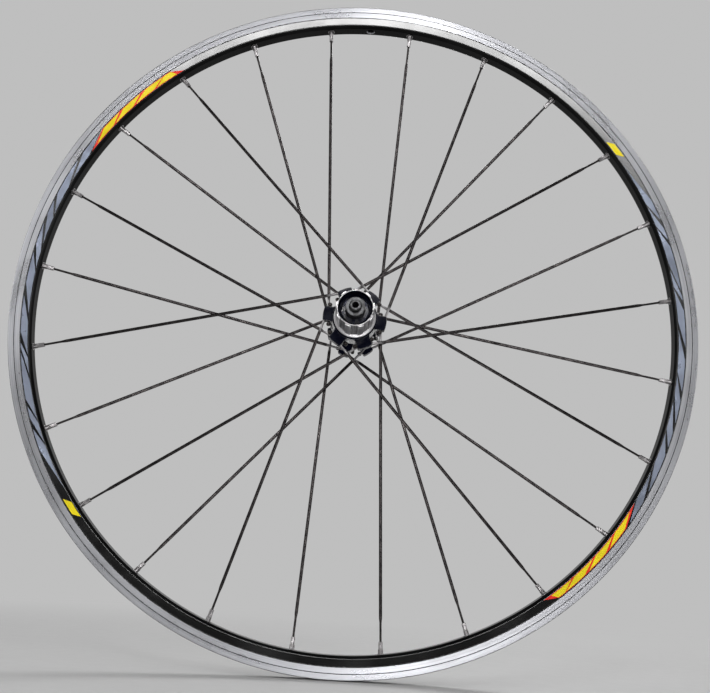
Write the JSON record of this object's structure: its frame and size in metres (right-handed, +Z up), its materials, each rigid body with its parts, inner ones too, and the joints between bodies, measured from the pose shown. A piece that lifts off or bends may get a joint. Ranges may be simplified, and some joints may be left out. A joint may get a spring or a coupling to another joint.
{
  "type": "bicycle rear wheel",
  "caption": "Bare rim-brake bicycle rear wheel: double-walled clincher rim, bladed straight-pull spokes on lugged flanges, cassette hub with splined freehub.",
  "frame": {"origin": "the wheel's centre: on the axle, in the rim's middle plane", "axes": "+Y along the axle, out of the side away from the chain (the drive side is -Y); +Z up through the valve hole; +X forward, so the wheel rolls forward by turning positively about +Y"},
  "size_m": [0.6316, 0.1404, 0.6316],
  "materials": {
    "rim_black": "satin black anodised, with bare machined brake tracks",
    "black_anodised": "gloss black anodised, with bare machined notches",
    "spoke_steel": "black-coated bladed stainless steel",
    "nipple_metal": "bright nickel plate",
    "bright_alloy": "bright machined alloy",
    "axle_alloy": "grey turned alloy",
    "bearing_steel": "ground steel with black seals",
    "tool_steel": "hardened dark steel",
    "spring_steel": "drawn spring wire"
  },
  "bodies": {
    "axle_set": {"axle": "axle_alloy", "end_cap_ds": "axle_alloy", "end_cap_nds": "axle_alloy"},
    "wheel": {"rim": "rim_black", "hub_shell": "black_anodised", "bearing_ds": "bearing_steel", "bearing_nds": "bearing_steel", "spoke_ds_01": "spoke_steel", "spoke_ds_02": "spoke_steel", "spoke_ds_03": "spoke_steel", "spoke_ds_04": "spoke_steel", "spoke_ds_05": "spoke_steel", "spoke_ds_06": "spoke_steel", "spoke_ds_07": "spoke_steel", "spoke_ds_08": "spoke_steel", "spoke_ds_09": "spoke_steel", "spoke_ds_10": "spoke_steel", "spoke_ds_11": "spoke_steel", "spoke_ds_12": "spoke_steel", "spoke_nds_01": "spoke_steel", "spoke_nds_02": "spoke_steel", "spoke_nds_03": "spoke_steel", "spoke_nds_04": "spoke_steel", "spoke_nds_05": "spoke_steel", "spoke_nds_06": "spoke_steel", "spoke_nds_07": "spoke_steel", "spoke_nds_08": "spoke_steel", "spoke_nds_09": "spoke_steel", "spoke_nds_10": "spoke_steel", "spoke_nds_11": "spoke_steel", "spoke_nds_12": "spoke_steel", "nipple_ds_01": "nipple_metal", "nipple_ds_02": "nipple_metal", "nipple_ds_03": "nipple_metal", "nipple_ds_04": "nipple_metal", "nipple_ds_05": "nipple_metal", "nipple_ds_06": "nipple_metal", "nipple_ds_07": "nipple_metal", "nipple_ds_08": "nipple_metal", "nipple_ds_09": "nipple_metal", "nipple_ds_10": "nipple_metal", "nipple_ds_11": "nipple_metal", "nipple_ds_12": "nipple_metal", "nipple_nds_01": "nipple_metal", "nipple_nds_02": "nipple_metal", "nipple_nds_03": "nipple_metal", "nipple_nds_04": "nipple_metal", "nipple_nds_05": "nipple_metal", "nipple_nds_06": "nipple_metal", "nipple_nds_07": "nipple_metal", "nipple_nds_08": "nipple_metal", "nipple_nds_09": "nipple_metal", "nipple_nds_10": "nipple_metal", "nipple_nds_11": "nipple_metal", "nipple_nds_12": "nipple_metal"},
    "freehub": {"freehub_body": "bright_alloy", "freehub_bearing": "bearing_steel", "pawl_spring": "spring_steel"},
    "pawl_a": {"pawl_a": "tool_steel"},
    "pawl_b": {"pawl_b": "tool_steel"}
  },
  "joints": [
    {"name": "wheel_spin", "type": "hinge", "parent": "axle_set", "child": "wheel", "pos_m": [0, 0, 0], "axis": [0, 1, 0], "continuous": true},
    {"name": "freehub_spin", "type": "hinge", "parent": "wheel", "child": "freehub", "pos_m": [0, 0, 0], "axis": [0, 1, 0], "continuous": true},
    {"name": "pawl_a_pivot", "type": "hinge", "parent": "freehub", "child": "pawl_a", "pos_m": [0, -0.01675, 0.0122], "axis": [0, 1, 0], "range_deg": [0, 13], "stiffness_Nm_per_rad": 0.004, "springref_deg": -28.65},
    {"name": "pawl_b_pivot", "type": "hinge", "parent": "freehub", "child": "pawl_b", "pos_m": [0, -0.01675, -0.0122], "axis": [0, 1, 0], "range_deg": [0, 13], "stiffness_Nm_per_rad": 0.004, "springref_deg": -28.65}
  ]
}
